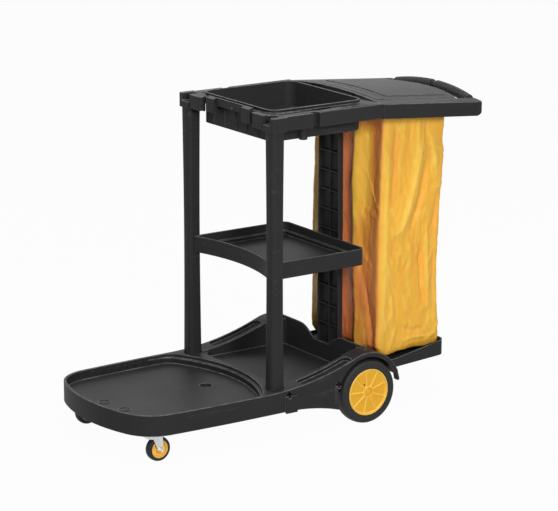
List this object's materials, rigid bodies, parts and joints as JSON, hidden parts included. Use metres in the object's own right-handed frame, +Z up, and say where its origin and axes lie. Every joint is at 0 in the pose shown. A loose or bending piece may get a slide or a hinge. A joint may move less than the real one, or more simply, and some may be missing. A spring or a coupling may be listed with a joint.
{
  "type": "janitor cart",
  "caption": "Cleaning cart with a front platform, posts, a middle shelf, a top tray bin, a lidded rubbish bag frame with a handle, rear wheels and front swivel casters.",
  "frame": {"origin": "on the floor under the middle of the cart", "axes": "+X from the front platform to the handle, +Y to the right of a person at the handle who faces the front, +Z up"},
  "size_m": [1.31, 0.558, 1.003],
  "materials": {
    "black_plastic": "satin moulded plastic with a fine grain",
    "grip_rubber": "soft matt",
    "tyre_rubber": "matt",
    "yellow_plastic": "satin",
    "bag_cloth": "coated cloth with a soft sheen",
    "zinc_steel": "zinc plated",
    "brass": "polished"
  },
  "bodies": {
    "chassis": {"base_platform": "black_plastic", "left_front_post": "black_plastic", "right_front_post": "black_plastic", "rear_post": "black_plastic", "middle_shelf": "black_plastic", "top_tray": "black_plastic", "bag_frame": "black_plastic", "bag_platform": "black_plastic", "left_grip": "grip_rubber", "right_grip": "grip_rubber", "bag": "bag_cloth", "bag_eyelets": "brass", "left_lid_pin": "zinc_steel", "right_lid_pin": "zinc_steel", "rear_axle": "zinc_steel", "axle_washers": "zinc_steel", "axle_push_nuts": "zinc_steel", "caster_screws": "zinc_steel", "post_screws": "zinc_steel", "shelf_screws": "zinc_steel", "rear_post_screws": "zinc_steel", "frame_bolts": "zinc_steel", "platform_bolts": "zinc_steel", "left_caster_plate": "zinc_steel", "left_caster_kingpin": "zinc_steel", "left_caster_race": "zinc_steel", "right_caster_plate": "zinc_steel", "right_caster_kingpin": "zinc_steel", "right_caster_race": "zinc_steel"},
    "lid": {"lid": "black_plastic"},
    "left_wheel": {"left_tyre": "tyre_rubber", "left_hub": "yellow_plastic", "left_hub_bushes": "zinc_steel", "left_hub_cap": "yellow_plastic"},
    "left_caster": {"left_caster_fork": "zinc_steel", "left_caster_bolt": "zinc_steel", "left_caster_nut": "zinc_steel"},
    "left_caster_wheel": {"left_caster_tyre": "tyre_rubber", "left_caster_hub": "yellow_plastic"},
    "right_wheel": {"right_tyre": "tyre_rubber", "right_hub": "yellow_plastic", "right_hub_bushes": "zinc_steel", "right_hub_cap": "yellow_plastic"},
    "right_caster": {"right_caster_fork": "zinc_steel", "right_caster_bolt": "zinc_steel", "right_caster_nut": "zinc_steel"},
    "right_caster_wheel": {"right_caster_tyre": "tyre_rubber", "right_caster_hub": "yellow_plastic"}
  },
  "joints": [
    {"name": "lid_hinge", "type": "hinge", "parent": "chassis", "child": "lid", "pos_m": [0.28, 0, 0.9885], "axis": [0, -1, 0], "range_deg": [0, 95]},
    {"name": "left_wheel_spin", "type": "hinge", "parent": "chassis", "child": "left_wheel", "pos_m": [0.186, -0.257, 0.1], "axis": [0, 1, 0], "continuous": true},
    {"name": "left_caster_swivel", "type": "hinge", "parent": "chassis", "child": "left_caster", "pos_m": [-0.555, -0.209, 0.09], "axis": [0, 0, 1], "continuous": true},
    {"name": "left_caster_spin", "type": "hinge", "parent": "left_caster", "child": "left_caster_wheel", "pos_m": [-0.533, -0.209, 0.0375], "axis": [0, 1, 0], "continuous": true},
    {"name": "right_wheel_spin", "type": "hinge", "parent": "chassis", "child": "right_wheel", "pos_m": [0.186, 0.257, 0.1], "axis": [0, 1, 0], "continuous": true},
    {"name": "right_caster_swivel", "type": "hinge", "parent": "chassis", "child": "right_caster", "pos_m": [-0.555, 0.209, 0.09], "axis": [0, 0, 1], "continuous": true},
    {"name": "right_caster_spin", "type": "hinge", "parent": "right_caster", "child": "right_caster_wheel", "pos_m": [-0.533, 0.209, 0.0375], "axis": [0, 1, 0], "continuous": true}
  ]
}
